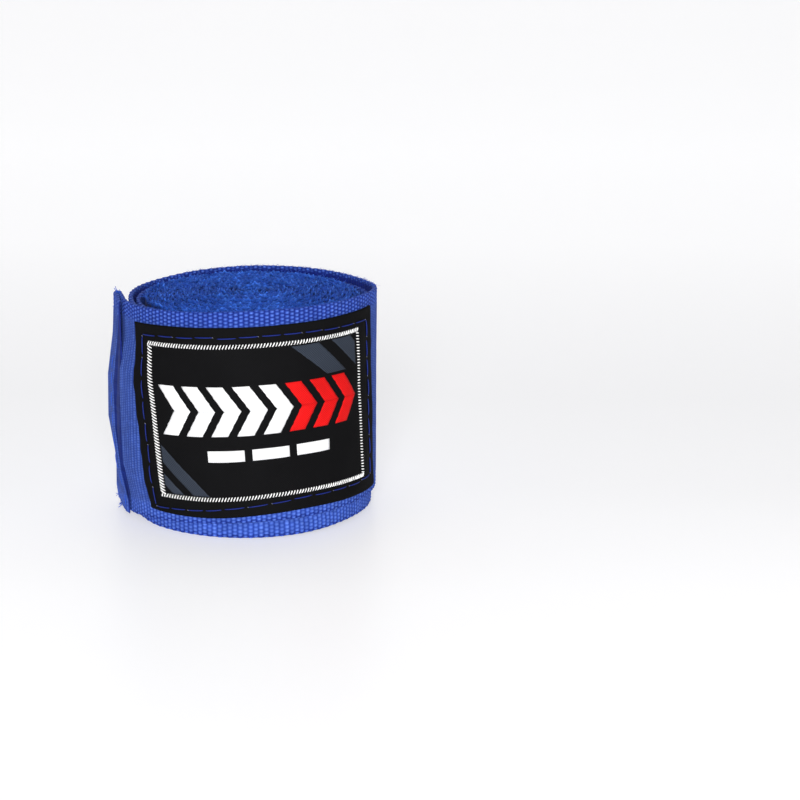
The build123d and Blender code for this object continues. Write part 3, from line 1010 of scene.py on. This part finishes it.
def tab_surface(up, along, n):
    """Points on the hem's outer face, by height up the band and distance past the root."""
    z = height(TAB_ANGLE, up)
    hem = 2 * FOLD_RADIUS + BODY_HALF + RIB_HIGH
    return beyond_root(along, hem + n, z)


def make_hem_stitching():
    """The row of thread along the hem, just in from its cut edge."""
    paths = []
    for start in np.arange(1.2, BAND_WIDTH - 4.5, 4.6):
        ends = [(h, float(by_height(h, HEM_EDGE_LENGTHS)) + 1.5) for h in (start, start + 3.9)]
        paths.append(dash(tab_surface, ends[0], ends[1], 0.24))
    piece = tubes("hem_thread", paths, 0.13, 7, "tab", "fuzz", 0.8)
    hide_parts("hem_stitching")


def frayed(start, count, length, lean):
    """Loose yarns that curl away from one point."""
    t = np.linspace(0, 1, 7)
    paths = []
    for _ in range(count):
        aim = np.array(lean) + rng.normal(0, 0.42, 3)
        aim /= np.linalg.norm(aim)
        curl = rng.normal(0, 0.35, 3)
        reach = length * rng.uniform(0.5, 1.15)
        offset = rng.normal(0, 0.3, 3)
        paths.append(start + offset + aim * reach * t[:, None] + curl * (t[:, None] ** 2) * reach * 0.6)
    return paths


def make_frayed_ends():
    """Cut threads at the corners of the pull tab."""
    top = beyond_root(8.6, 0.5, 52.2)
    bottom = beyond_root(8.8, 0.6, 3.0)
    low_inner = beyond_root(5.5, 1.2, 0.9)
    paths = frayed(top, 9, 1.2, (-0.3, 0.4, 0.8)) + frayed(top - [0, 0, 2.0], 4, 1.1, (-1, 0, -0.2))
    paths += frayed(bottom, 8, 1.3, (-0.9, 0.1, -0.1)) + frayed(low_inner, 7, 1.2, (-0.6, -0.4, -0.1))
    paths = [np.column_stack([p[:, 0], p[:, 1], np.clip(p[:, 2], 0.15, None)]) for p in paths]
    tubes("frayed_threads", paths, 0.085, 5, "tab", "fuzz")


def fibre_paths(places, lengths, upward):
    """Short curled fibres that start at given places."""
    count = len(places)
    t = np.linspace(0, 1, 5)
    aim = rng.normal(0, 1, (count, 3))
    aim[:, 2] = np.abs(aim[:, 2]) * upward
    aim /= np.linalg.norm(aim, axis=1, keepdims=True)
    curl = rng.normal(0, 0.6, (count, 3))
    curl[:, 2] *= 0.4
    bent = aim[:, None] * t[:, None] + curl[:, None] * (t ** 2)[:, None] * 0.7
    return places[:, None] + lengths[:, None, None] * bent


def make_core_fuzz():
    """Loose fibres that blur the edges of the wound turns on the upper end of the roll."""
    count = CORE_FUZZ_COUNT
    run = rng.uniform(run_at(CORE_ANGLE + 60), run_at(CORE_END_ANGLE), count)
    tops = core_place(run, rng.normal(0, 0.25, count), np.full(count, BAND_WIDTH - 0.1))
    paths = fibre_paths(tops, rng.uniform(0.5, 1.6, count), 0.3)
    tubes("core_fuzz", paths, rng.uniform(0.03, 0.06, count), 3, "roll", "fuzz")


def make_edge_fuzz():
    """Loose fibres along the upper edge of the outer turn and of the flap."""
    count = EDGE_FUZZ_COUNT
    for name, low, high, body in (("rim_fuzz", 362, 490, "roll"), ("flap_fuzz", 224, 338, "flap")):
        run = rng.uniform(run_at(low), run_at(high), count)
        tops = wound(run, rng.normal(0, 0.2, count), np.full(count, BAND_WIDTH - 0.1))
        paths = fibre_paths(tops, rng.uniform(0.3, 0.8, count), 0.6)
        tubes(name, paths, 0.026, 3, body, "fuzz")


def make_thumb_loop_seam():
    """The row of thread across the doubled cloth, in the core."""
    paths = []
    for start in np.arange(1.6, BAND_WIDTH - 4.0, 4.6):
        up = np.linspace(start, start + 3.9, 12)
        x, y = loop_path(np.full(12, 12.0), 0.0 * up)
        paths.append(np.stack([x, y, up + 1.6], -1))
    piece = tubes("thumb_loop_thread", paths, 0.1, 6, "roll", "blue_thread")
    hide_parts("thumb_loop_seam")


# ---- studio ----

# Places and sizes of the studio are in metres.
CAMERA_DISTANCE = 0.4826
CAMERA_AIM = (0.03564, 0.0, 0.0255)
CAMERA_PITCH = 15.2155
CAMERA_ROLL = 0.4257
CAMERA_LENS = 89.27
# The floor glows with painted light: painted shade in a band just behind the object, brighter towards the
# camera and up the backdrop.
PAINTED_FLOOR_LIGHT = ((0.09, 0.49), (0.14, 0.41), (0.20, 0.39), (0.36, 0.50))   # share of the depth, grey


def make_camera():
    data = bpy.data.cameras.new("studio camera")
    data.sensor_width = 36.0
    data.lens = CAMERA_LENS
    data.clip_start, data.clip_end = 0.01, 20.0
    camera = new_object("studio camera", data)
    pitch, roll = math.radians(CAMERA_PITCH), math.radians(CAMERA_ROLL)
    back, up = CAMERA_DISTANCE * math.cos(pitch), CAMERA_DISTANCE * math.sin(pitch)
    turn = Matrix.Rotation(math.radians(90) - pitch, 4, "X") @ Matrix.Rotation(roll, 4, "Z")
    camera.matrix_world = Matrix.Translation((CAMERA_AIM[0], -back, CAMERA_AIM[2] + up)) @ turn
    bpy.context.scene.camera = camera


def make_floor():
    """A pale sweep: floor, gentle curve and backdrop in one sheet, glowing with painted light and painted
    shade.
    """
    profile = [(-3.0, 0.0), (-1.0, 0.0), (0.6, 0.0)]
    profile += [(0.6 + 0.8 * math.sin(a), 0.8 - 0.8 * math.cos(a)) for a in np.linspace(0.1, math.pi / 2, 14)]
    profile += [(1.4, 3.0)]
    points = [(x, y, z) for y, z in profile for x in (-3.0, 3.0)]
    faces = [(2 * i, 2 * i + 1, 2 * i + 3, 2 * i + 2) for i in range(len(profile) - 1)]
    mesh = bpy.data.meshes.new("studio_floor")
    mesh.from_pydata(points, [], faces)
    mesh.polygons.foreach_set("use_smooth", np.ones(len(faces), bool))
    material, tree, shader = new_material("pale glowing floor")
    depth = parts_of(add_node(tree, "ShaderNodeNewGeometry").outputs["Position"])[1]
    share = add_node(tree, "ShaderNodeMapRange", {"Value": depth, "From Min": -0.2, "From Max": 1.3})
    painted_glow = add_node(tree, "ShaderNodeValToRGB", {0: share.outputs[0]})
    for place, tone in PAINTED_FLOOR_LIGHT:
        painted_glow.color_ramp.elements.new(place).color = (tone, tone, tone, 1)
    painted_glow.color_ramp.elements[0].color = (0.50, 0.50, 0.50, 1)
    painted_glow.color_ramp.elements[-1].color = (0.62, 0.62, 0.62, 1)
    # Painted light: the floor glows by emission, darkest just behind the object.
    feed(tree, shader, {"Emission Color": painted_glow.outputs[0], "Emission Strength": 1.0,
                        "Base Color": (0.56, 0.56, 0.58, 1), "Roughness": 0.4, "Specular IOR Level": 0.3})
    mesh.materials.append(material)
    new_object("studio_floor", mesh)


def area_light(name, place, aim, size, power, tint):
    data = bpy.data.lights.new(name, "AREA")
    data.shape, data.size, data.energy, data.color = "DISK", size, power, tint
    light = new_object(name, data)
    light.location = place
    light.rotation_mode = "QUATERNION"
    light.rotation_quaternion = (Vector(place) - Vector(aim)).to_track_quat("Z", "Y")


def make_studio():
    """The floor, two lights and the pale surroundings, which light the object only faintly."""
    make_floor()
    area_light("key", (0.05, -1.25, 0.42), (0, 0, 0.03), 0.5, 20.0, (1.0, 0.99, 0.97))
    area_light("top", (0.0, 0.1, 1.3), (0, 0, 0.03), 0.9, 2.4, (1.0, 1.0, 1.0))
    world = bpy.data.worlds.new("studio")
    bpy.context.scene.world = world
    world.use_nodes = True
    tree = world.node_tree
    seen = add_node(tree, "ShaderNodeLightPath").outputs["Is Camera Ray"]
    sky = {"Strength": plus(times(seen, 0.75), 0.12), "Color": (0.96, 0.97, 1.0, 1)}
    feed(tree, tree.nodes["Background"], sky)
    bpy.context.scene.view_settings.view_transform = "Standard"


# ---- making it ----

make_camera()
make_studio()
make_outer_turns()
make_closure_flap()
make_pull_tab()
make_inner_turns()
make_thumb_loop()
make_thumb_loop_seam()
make_label()
make_label_seam()
make_label_border()
make_label_shapes()
make_loop_tape()
make_hook_tape()
make_hem_stitching()
make_frayed_ends()
make_core_fuzz()
make_edge_fuzz()
